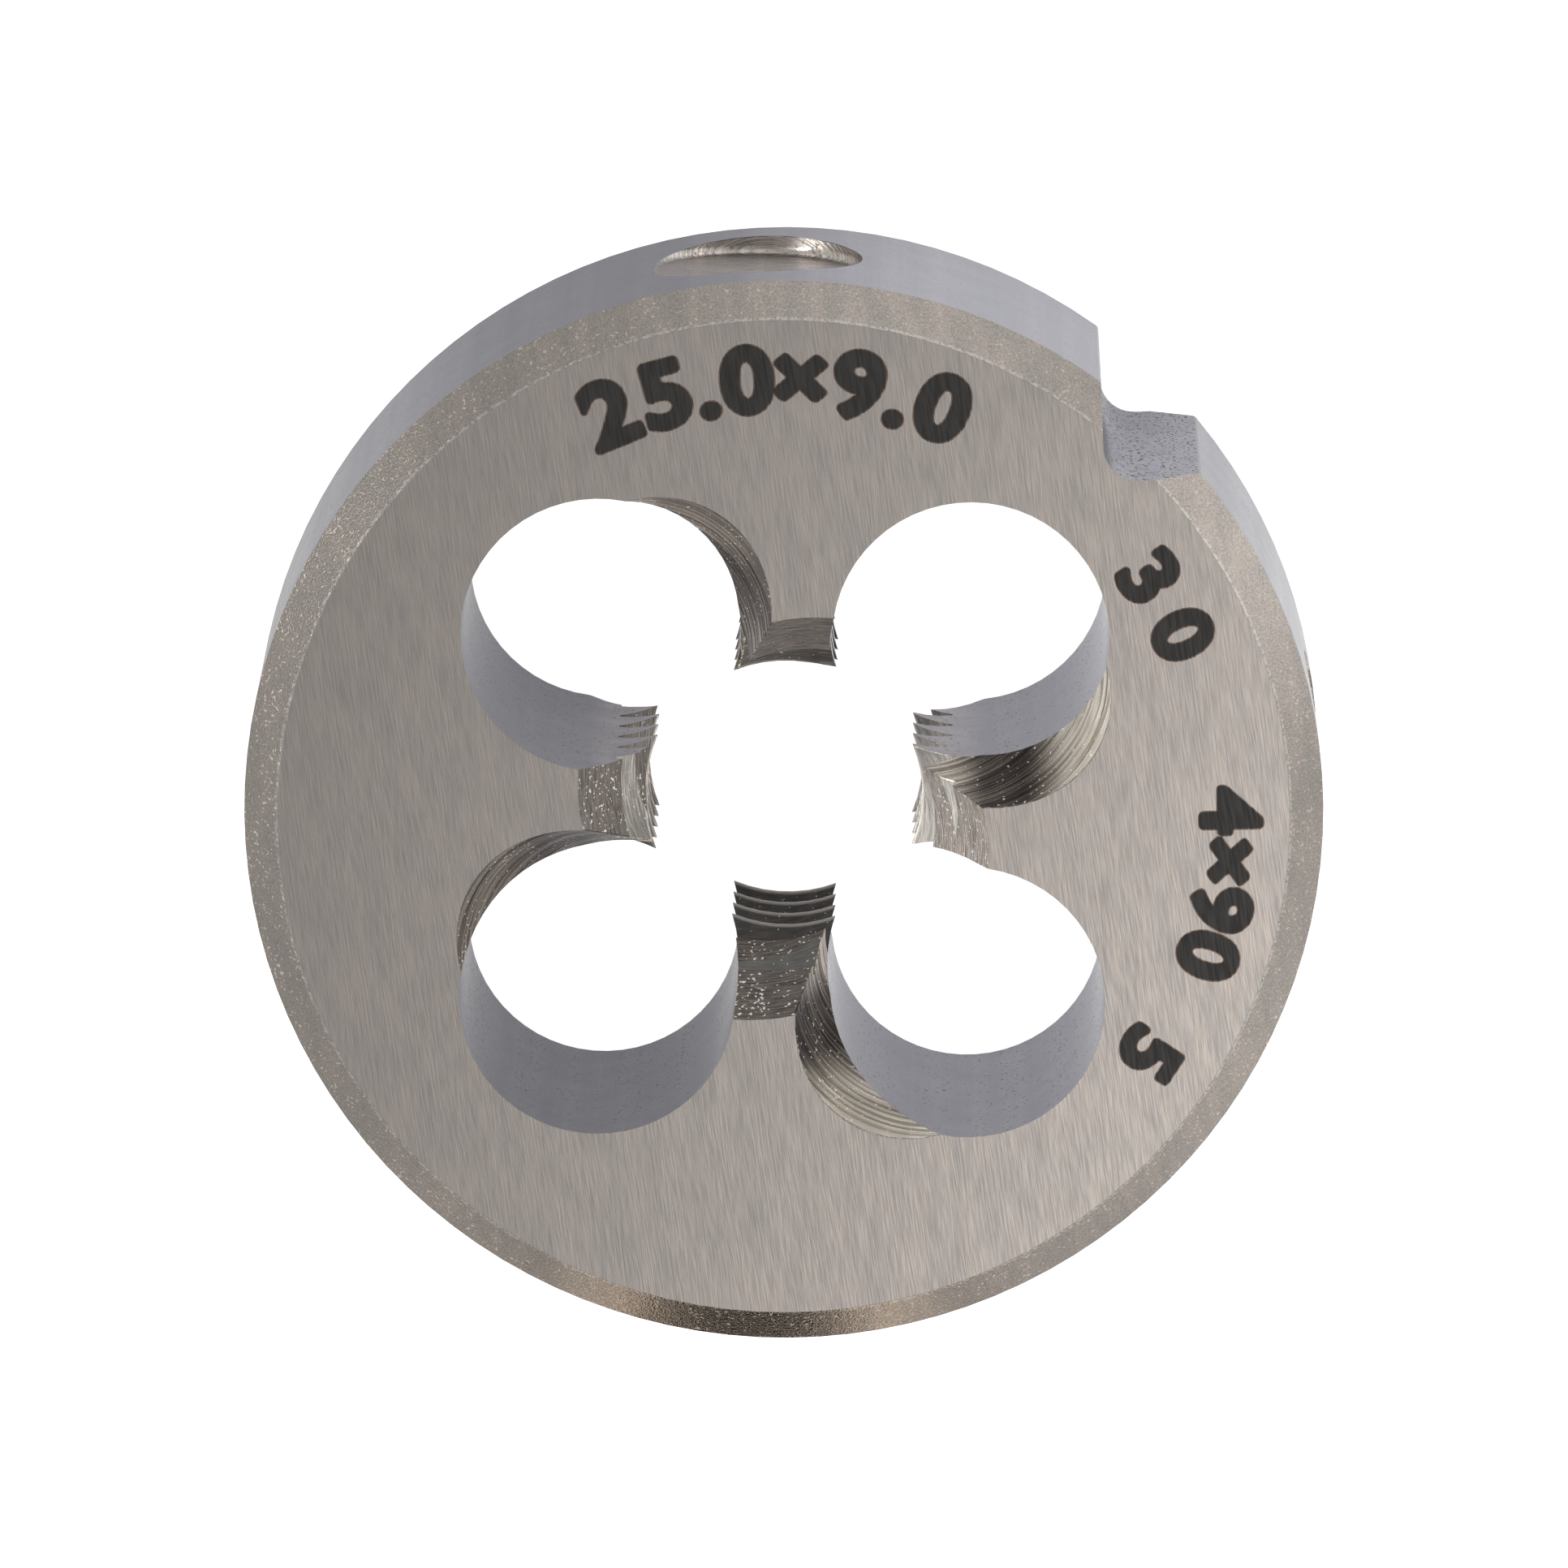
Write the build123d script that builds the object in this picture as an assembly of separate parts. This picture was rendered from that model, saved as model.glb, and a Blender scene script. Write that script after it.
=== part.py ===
from build123d import *
import math
import os

os.makedirs("parts", exist_ok=True)

# Round threading die for an M8 x 1.25 right-hand thread, in millimetres.
# It lies on its back face. The origin is the middle of that face, +Z runs along
# the thread towards the marked front face, and one cutting land lies along each
# of +X, +Y, -X and -Y.

# Blank: a hardened steel disc with both rims chamfered at 45 degrees
blank_diameter = 25.0
thickness = 9.0
rim_chamfer = 0.8

# Locating notch: a V along the whole rim height, with a round root
notch_heading = 47.5
notch_angle = 90.0
notch_depth = 1.65
notch_root_radius = 0.8
notch_corner_radius = 0.15

# Screw dimples in the rim, each a little off the centre line of its land
dimple_diameter = 5.0
dimple_depth = 0.43
dimple_offset = 0.8
dimple_floor_radius = 0.2

# Thread: a helical groove between the crests that form the bore. Its first turn
# crosses the middle of the +X land at the start height.
crest_diameter = 6.42
groove_diameter = 8.08
pitch = 1.25
thread_angle = 60.0
groove_floor_width = 0.15
groove_start_height = 0.28

# Chip holes, one between each two lands, and the grind that sharpens the lands
land_count = 4
chip_hole_diameter = 6.4
chip_hole_radial_place = 6.07
flank_grind_diameter = 5.84
flank_grind_shift = 0.48

# Lead cone of the front face, ground off centre so that each land is relieved
# behind its cutting edge
lead_half_angle = 30.0
lead_diameter = 9.52
lead_relief = 0.785

# Countersink of the back face
back_half_angle = 45.0
back_diameter = 9.6

# Spiral-point gullet: a leaning cylinder ground into the cutting side of a land,
# placed from the middle of the chip hole that it opens into
gullet_radius = 2.85
gullet_shift_to_land = 1.02
gullet_shift_to_rim = 0.07
gullet_lean = 30.0
gullet_lean_heading = -30.0
gullet_depth = 2.1

# How far a cutting tool runs out past a face, and into the open bore
overrun = 1.0
bore_run_in = 0.05

blank_radius = blank_diameter / 2
crest_radius = crest_diameter / 2
groove_radius = groove_diameter / 2
land_step = 360 / land_count
hole_heading = land_step / 2
hole_along_land = chip_hole_radial_place * math.cos(math.radians(hole_heading))
hole_beside_land = chip_hole_radial_place * math.sin(math.radians(hole_heading))


def blank():
    """Disc with the locating notch and both rim chamfers."""
    half_mouth = math.tan(math.radians(notch_angle / 2)) * (notch_depth + overrun)
    apex = blank_radius - notch_depth
    wedge = make_face(
        Polyline(
            (apex, 0),
            (blank_radius + overrun, half_mouth),
            (blank_radius + overrun, -half_mouth),
            close=True,
        )
    )
    outline = Circle(blank_radius) - wedge
    root = outline.vertices().sort_by_distance((apex, 0))[0]
    outline = fillet(root, notch_root_radius)
    corners = outline.vertices().filter_by(lambda v: abs(abs(v.center().length) - blank_radius) < 1e-3)
    outline = fillet(corners, notch_corner_radius)
    disc = extrude(Rot(Z=notch_heading) * outline, thickness)

    chamfer_limit = revolve(
        Plane.XZ
        * make_face(
            Polyline(
                (0, 0),
                (blank_radius - rim_chamfer, 0),
                (blank_radius + thickness / 2 - rim_chamfer, thickness / 2),
                (blank_radius - rim_chamfer, thickness),
                (0, thickness),
                close=True,
            )
        ),
        Axis.Z,
    )
    return disc & chamfer_limit


def dimple():
    """Flat-bottomed spot in the rim above the +Y land."""
    floor = blank_radius - dimple_depth
    spot = Cylinder(
        dimple_diameter / 2,
        dimple_depth + overrun,
        align=(Align.CENTER, Align.CENTER, Align.MIN),
    )
    spot = fillet(spot.edges().sort_by(Axis.Z)[0], dimple_floor_radius)
    place = Plane(origin=(-dimple_offset, floor, thickness / 2), z_dir=(0, 1, 0))
    return place * spot


def chip_hole():
    """Through hole on the +Y side of the +X land, with its flank grind."""
    drilled = Cylinder(chip_hole_diameter / 2, thickness + 2 * overrun)
    ground = Cylinder(flank_grind_diameter / 2, thickness + 2 * overrun)
    drilled = Pos(X=chip_hole_radial_place) * drilled
    ground = Pos(X=chip_hole_radial_place - flank_grind_shift) * ground
    return Rot(Z=hole_heading) * Pos(Z=thickness / 2) * (drilled + ground)


def bore():
    """Plain bore at the thread crests, with the back countersink."""
    back_slope = math.tan(math.radians(back_half_angle))
    mouth = back_diameter / 2 + overrun * back_slope
    back_depth = (mouth - crest_radius) / back_slope - overrun
    profile = make_face(
        Polyline(
            (0, -overrun),
            (mouth, -overrun),
            (crest_radius, back_depth),
            (crest_radius, thickness + overrun),
            (0, thickness + overrun),
            close=True,
        )
    )
    return revolve(Plane.XZ * profile, Axis.Z)


def lead_cone():
    """Relieved lead cone over the +X land alone."""
    slope = math.tan(math.radians(lead_half_angle))
    mouth = lead_diameter / 2 + overrun * slope
    tip = crest_radius - lead_relief - bore_run_in
    cone = Cone(tip, mouth, (mouth - tip) / slope, align=(Align.CENTER, Align.CENTER, Align.MAX))
    cone = Pos(0, -lead_relief, thickness + overrun) * cone
    window = Box(chip_hole_radial_place, crest_radius, 2 * thickness)
    return cone & (Pos(chip_hole_radial_place / 2, 0, thickness) * window)


def gullet():
    """Spiral-point grind on the +Y side of the +X land."""
    lean = math.tan(math.radians(gullet_lean))
    heading = math.radians(gullet_lean_heading)
    axis = Vector(lean * math.cos(heading), lean * math.sin(heading), 1).normalized()
    foot = Vector(
        hole_along_land + gullet_shift_to_rim,
        hole_beside_land - gullet_shift_to_land,
        thickness,
    )
    length = gullet_depth + gullet_radius * lean + overrun
    stone = Cylinder(gullet_radius, length, align=(Align.CENTER, Align.CENTER, Align.MIN))
    stone = Plane(origin=foot - axis * gullet_depth, z_dir=axis) * stone
    inner = crest_radius / 2
    outer = chip_hole_radial_place + chip_hole_diameter / 2
    window = Box(outer - inner, hole_beside_land, 2 * thickness)
    return stone & (Pos((inner + outer) / 2, hole_beside_land / 2, thickness) * window)


def thread_stretch():
    """One turn's groove across the +X land, with its two ends in the chip holes."""
    rise = pitch / land_count
    inner_radius = crest_radius - bore_run_in
    flank_slope = math.tan(math.radians(thread_angle / 2))
    floor_half = groove_floor_width / 2
    mouth_half = floor_half + (groove_radius - inner_radius) * flank_slope
    start = -rise / 2
    profile = Plane.XZ * make_face(
        Polyline(
            (inner_radius, start - mouth_half),
            (groove_radius, start - floor_half),
            (groove_radius, start + floor_half),
            (inner_radius, start + mouth_half),
            close=True,
        )
    )
    path = Helix(pitch, rise, groove_radius, center=(0, 0, start))
    return Rot(Z=-hole_heading) * sweep(profile, path, is_frenet=True)


def land_thread(number):
    """The right-hand helical groove where it crosses one land, turn by turn."""
    first = groove_start_height + pitch * number / land_count
    turns = math.ceil((thickness - first) / pitch) + 1
    stretch = Rot(Z=number * land_step) * thread_stretch()
    return [Pos(Z=first + pitch * turn) * stretch for turn in range(turns)]


die = blank() - bore()
for number in range(land_count):
    turn = Rot(Z=number * land_step)
    die -= turn * dimple()
    die -= turn * chip_hole()
for number in range(land_count):
    turn = Rot(Z=number * land_step)
    die -= land_thread(number)
    die -= turn * lead_cone()
    die -= turn * gullet()

die.label = "die_body"
export_step(die, "parts/die_body.step")
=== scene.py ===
import math

import bpy
from mathutils import Matrix, Vector


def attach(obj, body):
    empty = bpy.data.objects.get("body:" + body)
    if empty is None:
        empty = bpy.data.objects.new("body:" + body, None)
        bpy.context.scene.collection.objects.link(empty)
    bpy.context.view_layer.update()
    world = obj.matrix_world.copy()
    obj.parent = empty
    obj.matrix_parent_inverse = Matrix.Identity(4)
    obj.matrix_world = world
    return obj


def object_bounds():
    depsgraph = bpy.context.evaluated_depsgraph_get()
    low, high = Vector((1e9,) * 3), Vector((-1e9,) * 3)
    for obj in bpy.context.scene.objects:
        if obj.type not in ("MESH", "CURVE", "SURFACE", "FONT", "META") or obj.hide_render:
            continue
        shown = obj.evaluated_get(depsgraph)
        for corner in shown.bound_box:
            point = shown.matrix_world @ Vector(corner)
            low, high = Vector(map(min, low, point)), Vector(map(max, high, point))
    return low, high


# Round threading die: the solid comes from the frame, and this file adds its finishes, the
# etched numerals, the floor, the light and the camera. Lengths are in metres, but the finishes
# are laid out in millimetres.

print("loading the frame")
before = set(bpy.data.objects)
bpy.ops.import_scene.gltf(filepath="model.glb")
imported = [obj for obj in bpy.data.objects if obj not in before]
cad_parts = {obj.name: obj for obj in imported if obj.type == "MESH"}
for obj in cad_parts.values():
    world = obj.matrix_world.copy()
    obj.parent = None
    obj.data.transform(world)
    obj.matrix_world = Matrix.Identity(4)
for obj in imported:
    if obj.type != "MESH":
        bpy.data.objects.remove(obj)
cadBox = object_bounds()
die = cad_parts["die_body"]
bpy.ops.object.select_all(action="DESELECT")

mm = 0.001
toMm = 1000.0


# Small helpers for node trees

def addNode(tree, kind, **settings):
    node = tree.nodes.new(kind)
    for name, value in settings.items():
        setattr(node, name, value)
    return node


def plug(tree, socket, value):
    if isinstance(value, bpy.types.NodeSocket):
        tree.links.new(value, socket)
    else:
        socket.default_value = value


def calc(tree, operation, *values, clamp=False):
    node = addNode(tree, "ShaderNodeMath", operation=operation, use_clamp=clamp)
    for socket, value in zip(node.inputs, values):
        plug(tree, socket, value)
    return node.outputs[0]


def hypotenuse(tree, one, other):
    squares = calc(tree, "ADD", calc(tree, "POWER", one, 2.0), calc(tree, "POWER", other, 2.0))
    return calc(tree, "SQRT", squares)


def vectorCalc(tree, operation, *values, output=0):
    node = addNode(tree, "ShaderNodeVectorMath", operation=operation)
    for socket, value in zip(node.inputs, values):
        plug(tree, socket, value)
    return node.outputs[output]


def allOf(tree, *masks):
    result = masks[0]
    for mask in masks[1:]:
        result = calc(tree, "MULTIPLY", result, mask)
    return result


def split(tree, vector):
    node = addNode(tree, "ShaderNodeSeparateXYZ")
    plug(tree, node.inputs[0], vector)
    return node.outputs


def invert(tree, mask):
    return calc(tree, "SUBTRACT", 1.0, mask)


def above(tree, value, limit):
    return calc(tree, "GREATER_THAN", value, limit)


def below(tree, value, limit):
    return calc(tree, "LESS_THAN", value, limit)


def near(tree, value, middle, width):
    return below(tree, calc(tree, "ABSOLUTE", calc(tree, "SUBTRACT", value, middle)), width)


def ramp(tree, value, low, high, start=0.0, end=1.0):
    node = addNode(tree, "ShaderNodeMapRange", clamp=True, interpolation_type="SMOOTHSTEP")
    for name, setting in (("From Min", low), ("From Max", high), ("To Min", start), ("To Max", end)):
        plug(tree, node.inputs[name], setting)
    plug(tree, node.inputs["Value"], value)
    return node.outputs[0]


def blendColour(tree, mask, under, over):
    node = addNode(tree, "ShaderNodeMix", data_type="RGBA")
    plug(tree, node.inputs["Factor"], mask)
    plug(tree, node.inputs["A"], under)
    plug(tree, node.inputs["B"], over)
    return node.outputs["Result"]


def blendValue(tree, mask, under, over):
    node = addNode(tree, "ShaderNodeMix", data_type="FLOAT")
    plug(tree, node.inputs["Factor"], mask)
    plug(tree, node.inputs["A"], under)
    plug(tree, node.inputs["B"], over)
    return node.outputs["Result"]


def blendVector(tree, mask, under, over):
    node = addNode(tree, "ShaderNodeMix", data_type="VECTOR")
    plug(tree, node.inputs["Factor"], mask)
    for socket, value in ((node.inputs[4], under), (node.inputs[5], over)):
        plug(tree, socket, value)
    return node.outputs[1]


def scaled(tree, vector, factor):
    node = addNode(tree, "ShaderNodeVectorMath", operation="SCALE")
    plug(tree, node.inputs[0], vector)
    plug(tree, node.inputs["Scale"], factor)
    return node.outputs[0]


def newGroup(name, inputs, outputs):
    group = bpy.data.node_groups.new(name, "ShaderNodeTree")
    for label, kind, value in inputs:
        socket = group.interface.new_socket(label, in_out="INPUT", socket_type=kind)
        if value is not None:
            socket.default_value = value
    for label, kind in outputs:
        group.interface.new_socket(label, in_out="OUTPUT", socket_type=kind)
    return group, addNode(group, "NodeGroupInput"), addNode(group, "NodeGroupOutput")


def useGroup(tree, group, **values):
    node = addNode(tree, "ShaderNodeGroup", node_tree=group)
    for name, value in values.items():
        plug(tree, node.inputs[name], value)
    return node


def noise(tree, vector, scale, detail=3.0, roughness=0.55):
    node = addNode(tree, "ShaderNodeTexNoise")
    plug(tree, node.inputs["Vector"], vector)
    plug(tree, node.inputs["Scale"], scale)
    plug(tree, node.inputs["Detail"], detail)
    plug(tree, node.inputs["Roughness"], roughness)
    return node.outputs["Fac"]


# Where each finish lies on the die, from the sizes of its cuts in millimetres and degrees

surfaceSizes = {
    "blankRadius": 12.5,
    "thickness": 9.0,
    "rimChamfer": 0.8,
    "notchHeading": 47.5,
    "notchFloorRadius": 10.6,
    "notchHalfWidth": 1.95,
    "leadFaceRadius": 4.76,
    "leadRelief": 0.785,
    "leadAngle": 30.0,
    "backFaceRadius": 4.8,
    "grooveRadius": 4.04,
    "crestRadius": 3.21,
    "gulletRadius": 2.85,
    "gulletPlace": (4.362, 3.272, 9.0),  # on the +X land
    "gulletAxis": (0.495, -0.287, 1.0),
    "tolerance": 0.03,
}


def makeSurfaceGroup():
    s = surfaceSizes
    maskNames = ("Front", "Back", "Chamfer", "Rim", "Notch", "Dimple", "Wall", "Cone", "Gullet", "Thread",
                 "Countersink")
    extraNames = ("Radius", "Height", "GulletAlong", "ConeDown", "ConeRound")
    outputs = [(name, "NodeSocketFloat") for name in maskNames + extraNames]
    outputs.append(("PlaceMm", "NodeSocketVector"))
    outputs.append(("LandPlace", "NodeSocketVector"))
    tree, _, out = newGroup("dieSurfaces", [], outputs)

    where = addNode(tree, "ShaderNodeTexCoord")
    place = scaled(tree, where.outputs["Object"], toMm)
    x, y, z = split(tree, place)
    tilt = calc(tree, "ABSOLUTE", split(tree, where.outputs["Normal"])["Z"])
    radius = hypotenuse(tree, x, y)
    heading = calc(tree, "ARCTAN2", y, x)

    front = above(tree, z, s["thickness"] - 0.01)
    back = below(tree, z, 0.01)
    between = allOf(tree, invert(tree, front), invert(tree, back))
    outside = allOf(tree, above(tree, radius, s["blankRadius"] - s["rimChamfer"] - 0.02), between)
    edgeBand = above(tree, calc(tree, "ABSOLUTE", calc(tree, "SUBTRACT", z, s["thickness"] / 2)),
                     s["thickness"] / 2 - s["rimChamfer"] - 0.01)
    chamfer = allOf(tree, outside, edgeBand, above(tree, tilt, 0.5))

    notchTurn = math.radians(s["notchHeading"])
    along = calc(tree, "ADD", calc(tree, "MULTIPLY", x, math.cos(notchTurn)),
                 calc(tree, "MULTIPLY", y, math.sin(notchTurn)))
    across = calc(tree, "SUBTRACT", calc(tree, "MULTIPLY", y, math.cos(notchTurn)),
                  calc(tree, "MULTIPLY", x, math.sin(notchTurn)))
    notch = allOf(tree, above(tree, along, s["notchFloorRadius"]),
                  near(tree, across, 0.0, s["notchHalfWidth"]),
                  below(tree, radius, s["blankRadius"] - 0.02), below(tree, tilt, 0.5), between)
    rim = allOf(tree, outside, above(tree, radius, s["blankRadius"] - 0.02), invert(tree, chamfer))
    dimple = allOf(tree, outside, invert(tree, chamfer), invert(tree, rim), invert(tree, notch))
    inside = allOf(tree, invert(tree, outside), invert(tree, notch), between)

    # the four lands are alike, so a place is turned onto the +X land
    quarter = math.pi / 2
    quarters = calc(tree, "ROUND", calc(tree, "DIVIDE", heading, quarter))
    turned = calc(tree, "SUBTRACT", heading, calc(tree, "MULTIPLY", quarters, quarter))
    landX = calc(tree, "MULTIPLY", radius, calc(tree, "COSINE", turned))
    landY = calc(tree, "MULTIPLY", radius, calc(tree, "SINE", turned))
    landPlace = addNode(tree, "ShaderNodeCombineXYZ")
    for socket, value in zip(landPlace.inputs, (landX, landY, z)):
        plug(tree, socket, value)

    # each land's lead cone has its axis off the thread's, and its gullet is a leaning cylinder
    fromCone = hypotenuse(tree, landX, calc(tree, "ADD", landY, s["leadRelief"]))
    slope = math.tan(math.radians(s["leadAngle"]))
    coneTip = s["leadFaceRadius"] - s["thickness"] * slope
    coneRadius = calc(tree, "ADD", calc(tree, "MULTIPLY", z, slope), coneTip)
    coneGap = calc(tree, "SUBTRACT", fromCone, coneRadius)
    axis = Vector(s["gulletAxis"]).normalized()
    offset = vectorCalc(tree, "SUBTRACT", landPlace.outputs[0], s["gulletPlace"])
    away = vectorCalc(tree, "LENGTH", vectorCalc(tree, "CROSS_PRODUCT", offset, tuple(axis)), output=1)
    gulletGap = calc(tree, "SUBTRACT", away, s["gulletRadius"])
    gulletAlong = vectorCalc(tree, "DOT_PRODUCT", offset, tuple(axis), output=1)

    gullet = allOf(tree, inside, near(tree, gulletGap, 0.0, s["tolerance"]), above(tree, landY, 0.2),
                   above(tree, z, s["thickness"] / 2), above(tree, tilt, 0.05))
    cone = allOf(tree, inside, near(tree, coneGap, 0.0, s["tolerance"]),
                 above(tree, z, s["thickness"] / 2), invert(tree, gullet), near(tree, tilt, 0.5, 0.1))
    sink = allOf(tree, inside, below(tree, z, s["thickness"] / 2), near(tree, tilt, 0.707, 0.05),
                 near(tree, calc(tree, "ADD", radius, z), s["backFaceRadius"], s["tolerance"]))
    flank = allOf(tree, below(tree, radius, s["grooveRadius"] + 0.05), above(tree, tilt, 0.2))
    crest = below(tree, radius, s["crestRadius"] + 0.02)
    thread = allOf(tree, inside, calc(tree, "MAXIMUM", flank, crest),
                   invert(tree, gullet), invert(tree, cone), invert(tree, sink))
    wall = allOf(tree, inside, invert(tree, gullet), invert(tree, cone), invert(tree, sink),
                 invert(tree, thread))

    # tool marks run round the cones and along the dimples' floors
    downward = blendValue(tree, sink, z, calc(tree, "MULTIPLY", z, -1.0))
    coneDown = calc(tree, "ADD", fromCone, downward)
    coneRound = calc(tree, "ADD", calc(tree, "MULTIPLY", turned, 4.0), heading)

    values = (front, back, chamfer, rim, notch, dimple, wall, cone, gullet, thread, sink, radius, z,
              gulletAlong, coneDown, coneRound, place, landPlace.outputs[0])
    for socket, value in zip(out.inputs, values):
        plug(tree, socket, value)
    return tree


# Patterns that several finishes share

def makeScratchGroup():
    # fine scratches along one direction, with their sizes in millimetres
    tree, given, out = newGroup(
        "scratches",
        [("Place", "NodeSocketVector", None), ("Lean", "NodeSocketFloat", 0.0),
         ("Width", "NodeSocketFloat", 0.05), ("Length", "NodeSocketFloat", 1.0)],
        [("Stretched", "NodeSocketVector")],
    )
    turn = addNode(tree, "ShaderNodeVectorRotate", rotation_type="Z_AXIS")
    plug(tree, turn.inputs["Vector"], given.outputs["Place"])
    plug(tree, turn.inputs["Angle"], given.outputs["Lean"])
    stretch = addNode(tree, "ShaderNodeCombineXYZ")
    plug(tree, stretch.inputs["X"], calc(tree, "DIVIDE", 1.0, given.outputs["Width"]))
    plug(tree, stretch.inputs["Y"], calc(tree, "DIVIDE", 1.0, given.outputs["Length"]))
    plug(tree, out.inputs["Stretched"], vectorCalc(tree, "MULTIPLY", turn.outputs[0], stretch.outputs[0]))
    return tree


toolSteel = {
    "grazingTint": (0.50, 0.50, 0.54, 1.0),
    # tool marks, specks and cloudy patches
    "grainLean": -9.0,
    "grainWidth": 0.043,
    "grainLength": 0.8,
    "blastSize": 0.05,
    "ringWidth": 0.10,
    "ringSway": 0.4,
    "coneMarkWidth": 0.07,
    "coneMarkLength": 0.9,
    "speckSize": 0.085,
    "cloudWidth": 0.45,
    "cloudLength": 1.7,
    "cloudTone": 0.06,
    "wallMarkSize": 1.1,
    "speckEdge": 0.04,
    "speckGather": 0.035,
    "speckRoughness": 0.8,
    "markGloss": 0.2,
    # colours of single spots and places: pits, painted glints, painted edge highlights, the walls beside
    # the teeth and the thread inside the lead
    "pitColour": (0.05, 0.045, 0.045),
    "paintedGlintColour": (0.95, 0.92, 0.88),
    "edgeHighlightColour": (0.62, 0.58, 0.54),
    "besideTeethColour": (0.54, 0.515, 0.50),
    "besideTeethTone": 0.15,
    "leadColour": (0.30, 0.29, 0.27),
    # painted light and shade: how much brighter or darker the cuts of single lands are painted, how many
    # painted glints the +Y cone loses, and the painted highlights at the gullets' ends, on the crests and
    # on the lips
    "litLandCut": 0.75,
    "shadedLandCut": 0.28,
    "litGulletCut": 1.1,
    "quietCut": 0.8,
    "gulletHighlightColour": (0.98, 0.88, 0.74),
    "innerGulletHighlight": 0.55,
    "earlyGulletHighlight": 0.3,
    "gulletHighlightScatter": 0.4,
    "crestShine": 0.6,
    "lipWidth": 0.06,
    # where these changes begin and end, in mm
    "besideTeethRadius": (5.0, 4.2),
    "leadHeight": (6.0, 7.4),
    "litLandX": (2.4, 3.0),
    "shadedLandY": (-2.6, -3.1),
    "quietY": (2.6, 3.1),
    "outerGulletHighlightX": (5.5, 6.7),
    "innerGulletHighlightX": (4.7, 3.8),
    # surface: base colour, roughness, how far its tool marks change the tone, their depth in mm,
    # how rare its specks are, how strong they are, and whether they are painted glints (bright) rather
    # than pits (dark)
    "finishes": {
        "Wall": ((0.43, 0.425, 0.435), 0.13, 0.05, 0.0, 0.665, 0.6, 0.0),
        "Front": ((0.365, 0.336, 0.318), 0.40, 0.15, 0.0006, 1.5, 0.0, 0.0),
        "Back": ((0.365, 0.336, 0.318), 0.40, 0.15, 0.0006, 1.5, 0.0, 0.0),
        "Chamfer": ((0.455, 0.41, 0.372), 0.19, 0.18, 0.0012, 0.66, 0.3, 1.0),
        "Rim": ((0.44, 0.435, 0.445), 0.16, 0.04, 0.0, 0.66, 0.3, 0.0),
        "Notch": ((0.44, 0.435, 0.455), 0.20, 0.10, 0.0, 0.60, 0.9, 0.0),
        "Dimple": ((0.57, 0.52, 0.475), 0.28, 0.30, 0.004, 0.63, 0.5, 0.0),
        "Cone": ((0.40, 0.36, 0.325), 0.50, 0.45, 0.005, 0.645, 1.0, 1.0),
        "Gullet": ((0.19, 0.165, 0.14), 0.24, 0.65, 0.005, 0.69, 0.9, 1.0),
        "Thread": ((0.15, 0.14, 0.13), 0.38, 0.20, 0.002, 0.70, 0.6, 1.0),
        "Countersink": ((0.40, 0.37, 0.345), 0.30, 0.35, 0.003, 0.68, 0.5, 1.0),
    },
}


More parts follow.
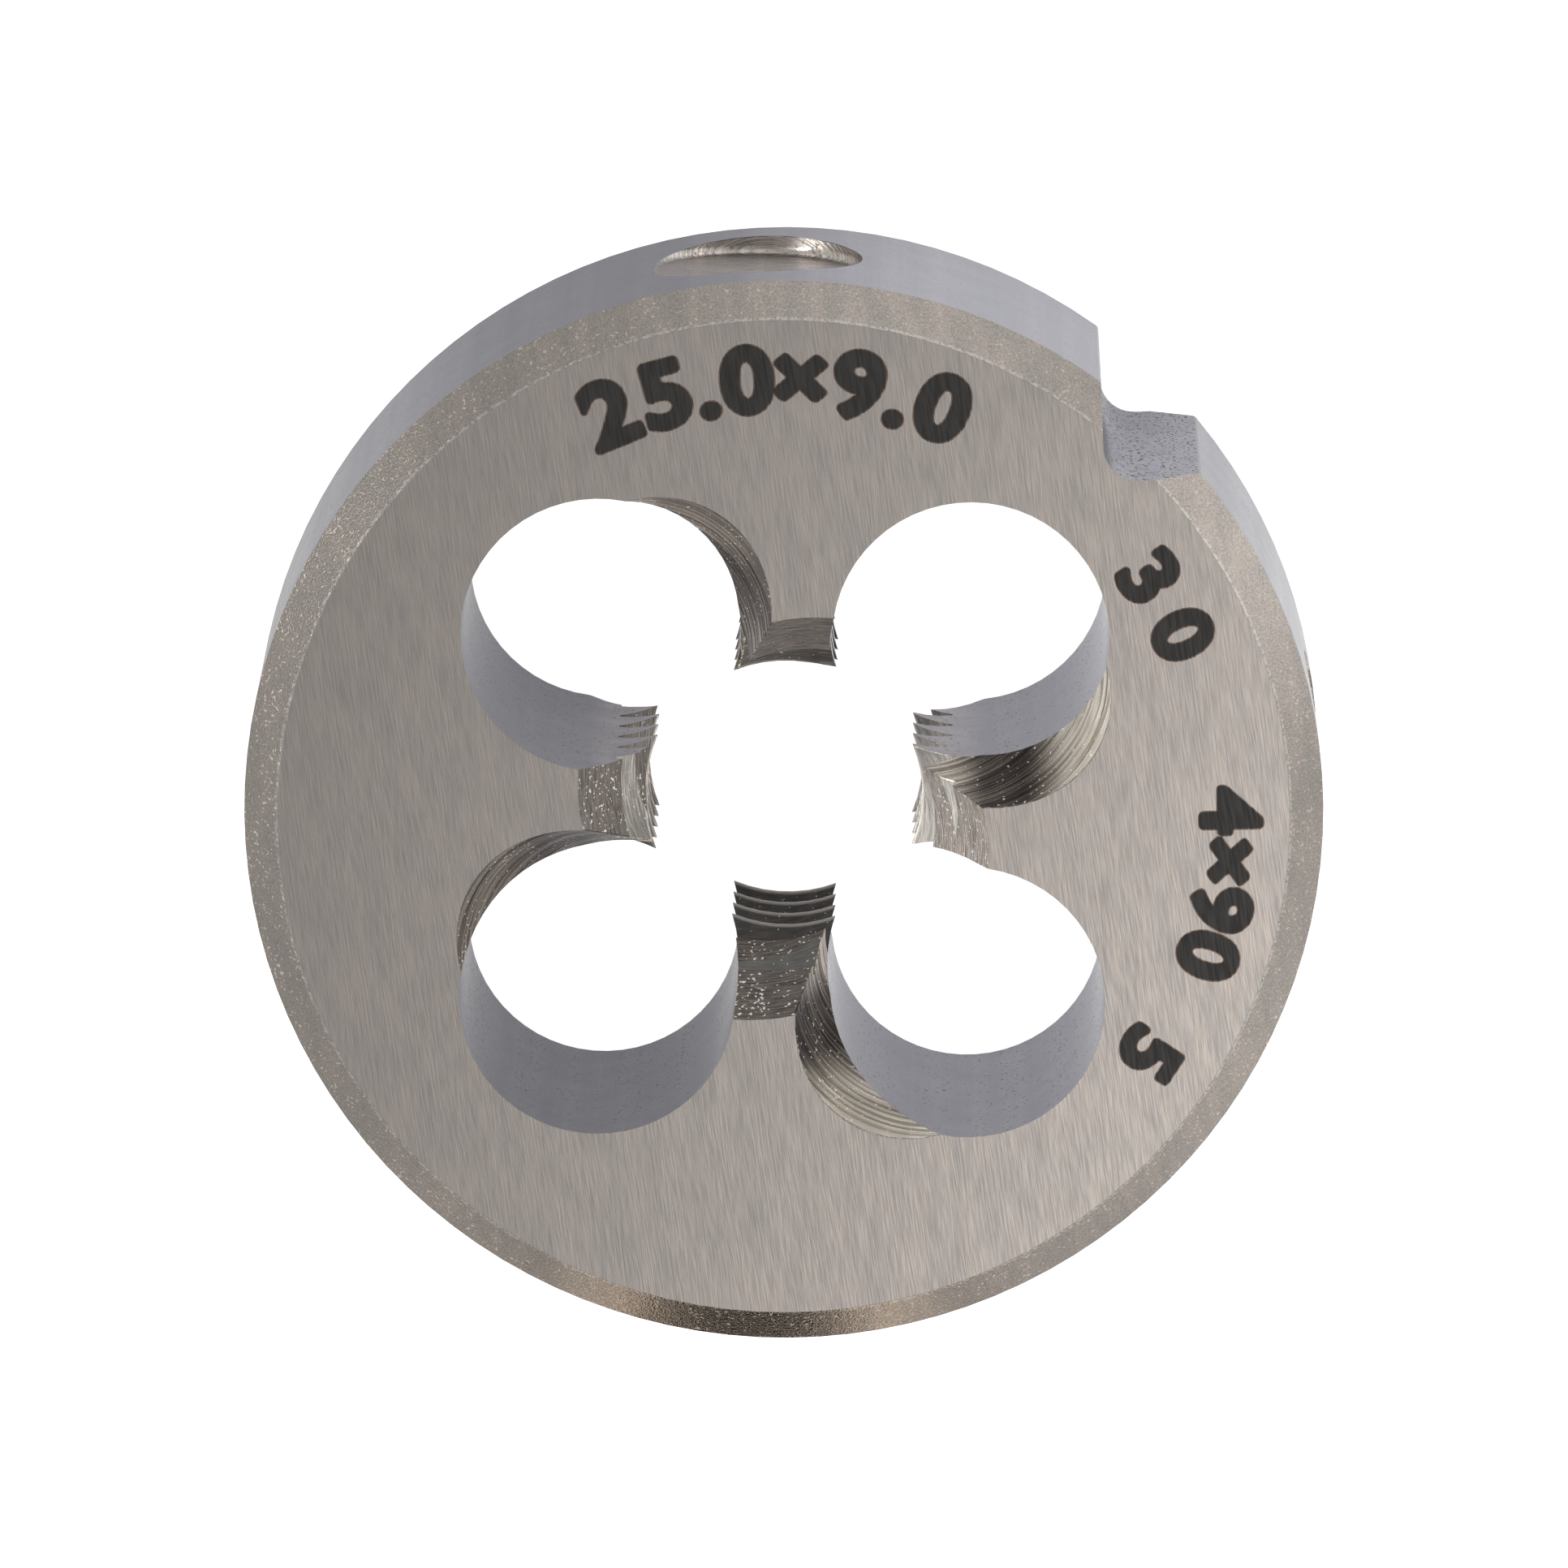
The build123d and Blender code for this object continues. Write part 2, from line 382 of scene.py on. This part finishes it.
def makeToolSteel():
    m = toolSteel
    material = bpy.data.materials.new("toolSteel")
    material.use_nodes = True
    tree = material.node_tree
    shader = tree.nodes["Principled BSDF"]
    shader.inputs["Specular Tint"].default_value = m["grazingTint"]
    where = useGroup(tree, makeSurfaceGroup()).outputs
    place = where["PlaceMm"]

    # each surface has its own run of tool marks: upright scratches on the ground faces, blasted
    # grain on the chamfer, rings in the gullets, and marks along the cut on cones and dimples
    upright = useGroup(tree, makeScratchGroup(), Place=place, Lean=math.radians(m["grainLean"]),
                       Width=m["grainWidth"], Length=m["grainLength"]).outputs["Stretched"]
    ringPlace = addNode(tree, "ShaderNodeCombineXYZ")
    plug(tree, ringPlace.inputs["X"], calc(tree, "DIVIDE", where["GulletAlong"], m["ringWidth"]))
    ringPlace = vectorCalc(tree, "ADD", ringPlace.outputs[0], scaled(tree, place, m["ringSway"]))
    conePlace = addNode(tree, "ShaderNodeCombineXYZ")
    plug(tree, conePlace.inputs["X"], calc(tree, "DIVIDE", where["ConeDown"], m["coneMarkWidth"]))
    plug(tree, conePlace.inputs["Y"], calc(tree, "DIVIDE", where["ConeRound"], m["coneMarkLength"]))
    conePlace = conePlace.outputs[0]
    markPlace = scaled(tree, place, 1.0 / m["wallMarkSize"])
    for surface, run in (
        ("Front", upright),
        ("Back", upright),
        ("Chamfer", scaled(tree, place, 1.0 / m["blastSize"])),
        ("Gullet", ringPlace),
        ("Cone", conePlace),
        ("Thread", conePlace),
        ("Dimple", conePlace),
        ("Countersink", conePlace),
    ):
        markPlace = blendVector(tree, where[surface], markPlace, run)
    marks = ramp(tree, noise(tree, markPlace, 1.0, detail=2.0), 0.25, 0.75, -1.0, 1.0)
    specks = noise(tree, scaled(tree, place, 1.0 / m["speckSize"]), 1.0, detail=1.0)
    patches = useGroup(tree, bpy.data.node_groups["scratches"], Place=place,
                       Lean=math.radians(m["grainLean"]), Width=m["cloudWidth"],
                       Length=m["cloudLength"]).outputs["Stretched"]
    clouds = ramp(tree, noise(tree, patches, 1.0, detail=3.0), 0.3, 0.7, -1.0, 1.0)

    colour, rough, toneShift, relief, speckLimit, speckStrength, paintedGlintSwitch = m["finishes"]["Wall"]
    for surface, finish in m["finishes"].items():
        if surface != "Wall":
            mask = where[surface]
            colour = blendVector(tree, mask, colour, finish[0])
            rough = blendValue(tree, mask, rough, finish[1])
            toneShift = blendValue(tree, mask, toneShift, finish[2])
            relief = blendValue(tree, mask, relief, finish[3])
            speckLimit = blendValue(tree, mask, speckLimit, finish[4])
            speckStrength = blendValue(tree, mask, speckStrength, finish[5])
            paintedGlintSwitch = blendValue(tree, mask, paintedGlintSwitch, finish[6])

    # the hole walls are lighter, with stronger tool marks, close beside the teeth
    besideTeeth = calc(tree, "MULTIPLY", where["Wall"], ramp(tree, where["Radius"], *m["besideTeethRadius"]))
    colour = blendVector(tree, besideTeeth, colour, m["besideTeethColour"])
    toneShift = blendValue(tree, besideTeeth, toneShift, m["besideTeethTone"])
    # inside the lead the thread takes a lighter colour, close to the cone's
    inLead = calc(tree, "MULTIPLY", where["Thread"], ramp(tree, where["Height"], *m["leadHeight"]))
    colour = blendVector(tree, inLead, colour, m["leadColour"])
    # painted light and shade: the cuts of the +X land are painted brighter and those of the -Y land
    # darker, the gullets of the two other lands are painted lighter, and the gullets' ends carry a
    # painted highlight, stronger on the +X and -Y lands than on the other two
    x, y, _ = split(tree, place)
    leadCut = calc(tree, "MAXIMUM", where["Cone"], where["Thread"])
    litLand = allOf(tree, ramp(tree, x, *m["litLandX"]), leadCut, invert(tree, inLead))
    shadedLand = allOf(tree, ramp(tree, y, *m["shadedLandY"]), leadCut)
    lateLands = ramp(tree, calc(tree, "SUBTRACT", x, y), 0.0, 3.0)
    litGullets = allOf(tree, where["Gullet"], invert(tree, lateLands))
    change = calc(tree, "SUBTRACT", calc(tree, "MULTIPLY", litLand, m["litLandCut"]),
                  calc(tree, "MULTIPLY", shadedLand, m["shadedLandCut"]))
    change = calc(tree, "ADD", change, calc(tree, "MULTIPLY", litGullets, m["litGulletCut"]))
    colour = scaled(tree, colour, calc(tree, "ADD", change, 1.0))
    outward = split(tree, where["LandPlace"])["X"]
    ends = calc(tree, "MAXIMUM", ramp(tree, outward, *m["outerGulletHighlightX"]),
                ramp(tree, outward, *m["innerGulletHighlightX"], 0.0, m["innerGulletHighlight"]))
    gulletHighlight = allOf(tree, where["Gullet"], ends, calc(tree, "MAXIMUM", lateLands, m["earlyGulletHighlight"]))
    colour = blendVector(tree, gulletHighlight, colour, m["gulletHighlightColour"])

    tone = calc(tree, "ADD", calc(tree, "MULTIPLY", marks, toneShift),
                calc(tree, "MULTIPLY", clouds, m["cloudTone"]))
    colour = scaled(tree, colour, calc(tree, "ADD", tone, 1.0))
    # faint warm and cool patches
    warmth = addNode(tree, "ShaderNodeCombineXYZ")
    plug(tree, warmth.inputs["X"], ramp(tree, clouds, -1.0, 1.0, 0.99, 1.01))
    warmth.inputs["Y"].default_value = 1.0
    plug(tree, warmth.inputs["Z"], ramp(tree, clouds, -1.0, 1.0, 1.012, 0.988))
    colour = vectorCalc(tree, "MULTIPLY", colour, warmth.outputs[0])

    # pits in the smooth walls, and painted glints in the rough cuts: bright white spots that stand for
    # highlights
    speckTop = calc(tree, "ADD", speckLimit, m["speckEdge"])
    gathered = calc(tree, "ADD", specks, calc(tree, "MULTIPLY", clouds, m["speckGather"]))
    pitsAndPaintedGlints = calc(tree, "MULTIPLY", ramp(tree, gathered, speckLimit, speckTop), speckStrength)
    # the cone of the +Y land gets fewer painted glints
    quiet = allOf(tree, where["Cone"], ramp(tree, y, *m["quietY"]), m["quietCut"])
    pitsAndPaintedGlints = calc(tree, "MULTIPLY", pitsAndPaintedGlints, invert(tree, quiet))
    pitOrPaintedGlintColour = blendVector(tree, paintedGlintSwitch, m["pitColour"], m["paintedGlintColour"])
    colour = blendVector(tree, pitsAndPaintedGlints, colour, pitOrPaintedGlintColour)

    # painted highlights: bright crests on the thread, and bright ragged lips where the cuts and the
    # chamfer meet the face
    s = surfaceSizes
    crest = ramp(tree, where["Radius"], s["crestRadius"] + 0.06, s["crestRadius"] + 0.01)
    crest = allOf(tree, crest, where["Thread"], m["crestShine"])
    lip = ramp(tree, where["Height"], s["thickness"] - m["lipWidth"], s["thickness"] - m["lipWidth"] / 3)
    inCut = calc(tree, "MAXIMUM", where["Wall"], where["Gullet"])
    lip = allOf(tree, lip, ramp(tree, specks, 0.4, 0.6), inCut)
    seam = near(tree, where["Radius"], s["blankRadius"] - s["rimChamfer"] + 0.03, 0.035)
    seam = allOf(tree, seam, where["Chamfer"], ramp(tree, specks, 0.42, 0.55))
    paintedEdgeHighlight = calc(tree, "MAXIMUM", calc(tree, "MAXIMUM", crest, lip), seam)
    colour = blendVector(tree, paintedEdgeHighlight, colour, m["edgeHighlightColour"])

    rough = calc(tree, "SUBTRACT", rough, calc(tree, "MULTIPLY", tone, m["markGloss"]))
    rough = blendValue(tree, pitsAndPaintedGlints, rough, m["speckRoughness"])
    # pits and painted glints, and in part the painted highlights at the gullets' ends, are made
    # non-metallic, so that the painted glints and highlights look bright from every side
    scattering = calc(tree, "ADD", pitsAndPaintedGlints, calc(tree, "MULTIPLY", gulletHighlight, m["gulletHighlightScatter"]))
    bump = addNode(tree, "ShaderNodeBump")
    bump.inputs["Strength"].default_value = 1.0
    bump.inputs["Distance"].default_value = mm
    plug(tree, bump.inputs["Height"], calc(tree, "MULTIPLY", marks, relief))
    plug(tree, shader.inputs["Base Color"], colour)
    plug(tree, shader.inputs["Roughness"], rough)
    plug(tree, shader.inputs["Metallic"], calc(tree, "SUBTRACT", 1.0, scattering, clamp=True))
    plug(tree, shader.inputs["Normal"], bump.outputs[0])
    return material


print("finishing the steel")
die.material_slots[0].material = makeToolSteel()


# Numerals: plain figures etched into the face, a thin black layer with a brown halo

numerals = {
    "figureSize": 2.1 * mm,
    "widening": 1.12,
    "blackTop": 0.010 * mm,
    "haloTop": 0.005 * mm,
    # in parts of the figures' size
    "weight": 0.028,
    "blackGrowth": 0.020,
    "haloGrowth": 0.033,
    "roundingStep": 0.02,
    "halfDepth": 0.08,
    # text, size, radius of the baseline in mm, heading of each figure in degrees
    "lines": (
        ("25.0\u00d79.0", 1.0, 9.62, (113.3, 105.7, 100.3, 95.1, 88.3, 80.8, 75.5, 69.7)),
        ("30", 0.9, 9.55, (34.6, 25.8)),
        ("4\u00d790", 0.9, 9.70, (1.6, -4.9, -11.2, -17.6)),
        ("5", 0.9, 9.50, (-32.7,)),
    ),
}


def addFigure(character, size, baseline, heading, growth, top):
    n = numerals
    bpy.ops.object.select_all(action="DESELECT")
    bpy.ops.object.text_add()
    figure = bpy.context.active_object
    figure.data.body = character
    figure.data.align_x = "CENTER"
    figure.data.offset = n["weight"]
    figure.data.resolution_u = 6
    figure.data.extrude = n["halfDepth"]
    bpy.ops.object.convert(target="MESH")
    figure = bpy.context.active_object
    # etching leaves round corners
    remesh = figure.modifiers.new("round", "REMESH")
    remesh.mode = "VOXEL"
    remesh.voxel_size = n["roundingStep"]
    smooth = figure.modifiers.new("smooth", "SMOOTH")
    smooth.iterations = 4
    grow = figure.modifiers.new("grow", "DISPLACE")
    grow.mid_level = 0.0
    grow.strength = growth
    for modifier in ("round", "smooth", "grow"):
        bpy.ops.object.modifier_apply(modifier=modifier)
    scale = n["figureSize"] * size
    turn = Matrix.Rotation(math.radians(heading - 90), 4, "Z")
    place = Matrix.Translation((0, baseline * mm, cadBox[1][2]))
    flatten = Matrix.Diagonal((scale * n["widening"], scale, top / (n["halfDepth"] + growth), 1))
    figure.data.transform(turn @ place @ flatten)
    return figure


def addNumerals(name, growth, top, material):
    figures = []
    for text, size, baseline, headings in numerals["lines"]:
        for character, heading in zip(text, headings):
            figures.append(addFigure(character, size, baseline, heading, growth, top))
    bpy.ops.object.select_all(action="DESELECT")
    for figure in figures:
        figure.select_set(True)
    bpy.context.view_layer.objects.active = figures[0]
    bpy.ops.object.join()
    piece = bpy.context.active_object
    piece.name = name
    piece.data.name = name
    piece.data.materials.clear()
    piece.data.materials.append(material)
    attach(piece, "root")
    return piece


etchLook = {
    "black": (0.013, 0.012, 0.0115),
    "brown": (0.15, 0.11, 0.09),
    "streakWidth": 0.07,
    "streakLength": 0.9,
    "streakTone": (0.6, 1.5),
    "streakGloss": 0.08,
}


def makeEtch(name, colour, metallic, roughness):
    e = etchLook
    material = bpy.data.materials.new(name)
    material.use_nodes = True
    tree = material.node_tree
    shader = tree.nodes["Principled BSDF"]
    where = addNode(tree, "ShaderNodeTexCoord")
    place = scaled(tree, where.outputs["Object"], toMm)
    along = useGroup(tree, bpy.data.node_groups["scratches"], Place=place,
                     Lean=math.radians(toolSteel["grainLean"]), Width=e["streakWidth"],
                     Length=e["streakLength"]).outputs["Stretched"]
    streak = ramp(tree, noise(tree, along, 1.0, detail=2.0), 0.25, 0.75)
    tone = ramp(tree, streak, 0.0, 1.0, *e["streakTone"])
    plug(tree, shader.inputs["Base Color"], scaled(tree, colour, tone))
    dull = roughness + e["streakGloss"]
    glossy = roughness - e["streakGloss"]
    plug(tree, shader.inputs["Roughness"], ramp(tree, streak, 0.0, 1.0, dull, glossy))
    shader.inputs["Metallic"].default_value = metallic
    return material


print("etching the numerals")
addNumerals("etchHalo", numerals["haloGrowth"], numerals["haloTop"],
            makeEtch("brownEtch", etchLook["brown"], 1.0, 0.5))
addNumerals("etchBlack", numerals["blackGrowth"], numerals["blackTop"],
            makeEtch("blackEtch", etchLook["black"], 0.2, 0.6))


# Camera: it looks down on the marked face from a little beyond the top land

cameraView = {
    "place": (0.002876, 0.078636, 0.393531),
    "forward": (-0.00731, -0.19831, -0.98011),
    "up": (-0.00970, 0.98011, -0.19823),
    "lens": 389.8,
    "sensor": 36.0,
}


def addCamera():
    v = cameraView
    data = bpy.data.cameras.new("camera")
    data.lens = v["lens"]
    data.sensor_width = v["sensor"]
    data.clip_start = 0.01
    camera = bpy.data.objects.new("camera", data)
    bpy.context.scene.collection.objects.link(camera)
    backward = -Vector(v["forward"]).normalized()
    right = Vector(v["up"]).cross(backward).normalized()
    upward = backward.cross(right)
    turn = Matrix((right, upward, backward)).transposed()
    camera.matrix_world = Matrix.Translation(v["place"]) @ turn.to_4x4()
    bpy.context.scene.camera = camera


# Floor: pale, white to the camera, with the die's soft shadow

floorLook = {
    "radius": 0.034,
    "tone": 0.5,
    "glow": 0.95,
    # what the steel mirrors of it: left and right of the die, behind it, and in front of it
    "leftShine": 0.49,
    "rightShine": 0.76,
    "behindLeft": 0.8,
    "behindRight": 1.25,
    "frontShine": 1.0,
    "frontTint": (1.0, 0.89, 0.73, 1.0),
    # where these run into each other, in mm
    "sideX": (-4.0, 4.0),
    "behindY": (8.0, 11.0),
    "frontY": (-13.0, -18.0),
}


def addFloor():
    f = floorLook
    bpy.ops.object.select_all(action="DESELECT")
    bpy.ops.mesh.primitive_circle_add(vertices=96, radius=f["radius"], fill_type="NGON")
    floor = bpy.context.active_object
    floor.name = "floor"
    floor.data.transform(Matrix.Translation((0, 0, -0.01 * mm)))
    material = bpy.data.materials.new("paleFloor")
    material.use_nodes = True
    tree = material.node_tree
    shader = tree.nodes["Principled BSDF"]
    shader.inputs["Base Color"].default_value = (f["tone"], f["tone"], f["tone"], 1.0)
    shader.inputs["Roughness"].default_value = 0.9
    shader.inputs["Specular IOR Level"].default_value = 0.1
    where = addNode(tree, "ShaderNodeTexCoord")
    x, y, _ = split(tree, scaled(tree, where.outputs["Object"], toMm))
    shine = ramp(tree, x, *f["sideX"], f["leftShine"], f["rightShine"])
    inFront = ramp(tree, y, *f["frontY"])
    behind = ramp(tree, x, *f["sideX"], f["behindLeft"], f["behindRight"])
    shine = calc(tree, "MULTIPLY", shine, blendValue(tree, ramp(tree, y, *f["behindY"]), 1.0, behind))
    shine = blendValue(tree, inFront, shine, f["frontShine"])
    path = addNode(tree, "ShaderNodeLightPath")
    tinted = calc(tree, "MULTIPLY", inFront, path.outputs["Is Glossy Ray"])
    colour = blendColour(tree, tinted, (1.0, 1.0, 1.0, 1.0), f["frontTint"])
    plug(tree, shader.inputs["Emission Color"], colour)
    seen = calc(tree, "MAXIMUM", path.outputs["Is Camera Ray"], path.outputs["Is Transmission Ray"])
    glow = calc(tree, "ADD", calc(tree, "MULTIPLY", seen, f["glow"]),
                calc(tree, "MULTIPLY", path.outputs["Is Glossy Ray"], shine))
    plug(tree, shader.inputs["Emission Strength"], glow)
    # from below, the floor is clear, so that the back face shows
    oneSided = addNode(tree, "ShaderNodeMixShader")
    plug(tree, oneSided.inputs["Fac"], addNode(tree, "ShaderNodeNewGeometry").outputs["Backfacing"])
    plug(tree, oneSided.inputs[1], shader.outputs["BSDF"])
    plug(tree, oneSided.inputs[2], addNode(tree, "ShaderNodeBsdfTransparent").outputs["BSDF"])
    plug(tree, tree.nodes["Material Output"].inputs["Surface"], oneSided.outputs["Shader"])
    floor.data.materials.append(material)


# Light: a soft white room with a dim strip and bright strips beyond the -Y side, a panel on the
# left, and a broad lamp high on the right

roomLight = {
    "overhead": 0.40,
    "around": 0.62,
    "leftLevel": 0.8,
    "rightLevel": 1.1,
    "dimHeading": 265.8,
    "dimWidth": 21.0,
    "dimLevel": 0.0,
    "panelHeading": 178.0,
    "panelWidth": 80.0,
    "panelLevel": 3.2,
    "goldTint": (1.0, 0.80, 0.58, 1.0),
    # where each part begins and ends, as the sine of the angle above the horizon
    "overheadFrom": (0.5, 0.8),
    "stripsUpTo": (0.55, 0.4),
    "panelFrom": (0.19, 0.34),
    "panelUpTo": (0.75, 0.6),
    # heading, width in degrees and added level of each stretch of the wall, and whether it is golden
    "glows": (
        (255.0, 4.0, 1.9, True),
        (279.0, 4.0, 1.6, True),
        (248.5, 10.0, -0.2, False),
        (285.0, 7.0, -0.35, False),
        (325.0, 60.0, 0.15, False),
        (20.0, 60.0, 0.45, False),
        (74.0, 90.0, 0.2, False),
    ),
}

keyLamp = {
    "place": (0.047, -0.033, 0.086),
    "aim": (0.006, -0.004, 0.009),
    "size": 0.072,
    "power": 0.049,
    "colour": (1.0, 0.97, 0.93),
}


def addLight():
    r = roomLight
    world = bpy.data.worlds.new("room")
    bpy.context.scene.world = world
    world.use_nodes = True
    tree = world.node_tree
    background = tree.nodes["Background"]
    where = addNode(tree, "ShaderNodeTexCoord")
    x, y, z = split(tree, where.outputs["Generated"])
    height = calc(tree, "ABSOLUTE", z)
    level = calc(tree, "MULTIPLY", ramp(tree, x, -1.0, 1.0, r["leftLevel"], r["rightLevel"]),
                 ramp(tree, height, *r["overheadFrom"], r["around"], r["overhead"]))
    low = ramp(tree, height, *r["stripsUpTo"])
    heading = calc(tree, "ARCTAN2", y, x)

    def fromHeading(degrees):
        apart = calc(tree, "SUBTRACT", heading, math.radians(degrees))
        apart = calc(tree, "WRAP", apart, math.pi, -math.pi)
        return calc(tree, "ABSOLUTE", apart)

    half = math.radians(r["dimWidth"] / 2)
    dim = calc(tree, "MULTIPLY", low, ramp(tree, fromHeading(r["dimHeading"]), half * 1.15, half * 0.85))
    level = blendValue(tree, dim, level, r["dimLevel"])
    warm = dim
    for glowHeading, width, added, golden in r["glows"]:
        glow = ramp(tree, fromHeading(glowHeading), math.radians(width / 2), 0.0)
        glow = calc(tree, "MULTIPLY", low, glow)
        level = calc(tree, "ADD", level, calc(tree, "MULTIPLY", glow, added))
        if golden:
            warm = calc(tree, "MAXIMUM", warm, glow)
    half = math.radians(r["panelWidth"] / 2)
    panel = allOf(tree, ramp(tree, fromHeading(r["panelHeading"]), half, half / 2),
                  ramp(tree, z, *r["panelFrom"]), ramp(tree, z, *r["panelUpTo"]))
    level = calc(tree, "ADD", level, calc(tree, "MULTIPLY", panel, r["panelLevel"]))
    path = addNode(tree, "ShaderNodeLightPath")
    strength = calc(tree, "MAXIMUM", path.outputs["Is Camera Ray"], level)
    plug(tree, background.inputs["Strength"], strength)
    tint = blendColour(tree, warm, (1.0, 1.0, 1.0, 1.0), r["goldTint"])
    tint = blendColour(tree, path.outputs["Is Camera Ray"], tint, (1.0, 1.0, 1.0, 1.0))
    plug(tree, background.inputs["Color"], tint)

    k = keyLamp
    data = bpy.data.lights.new("keyLamp", "AREA")
    data.size = k["size"]
    data.energy = k["power"]
    data.color = k["colour"]
    lamp = bpy.data.objects.new("keyLamp", data)
    bpy.context.scene.collection.objects.link(lamp)
    lamp.location = k["place"]
    lamp.rotation_euler = (Vector(k["place"]) - Vector(k["aim"])).to_track_quat("Z", "Y").to_euler()


print("placing camera, floor and light")
addCamera()
addFloor()
addLight()
bpy.context.scene.view_settings.view_transform = "Standard"

print("finishing")
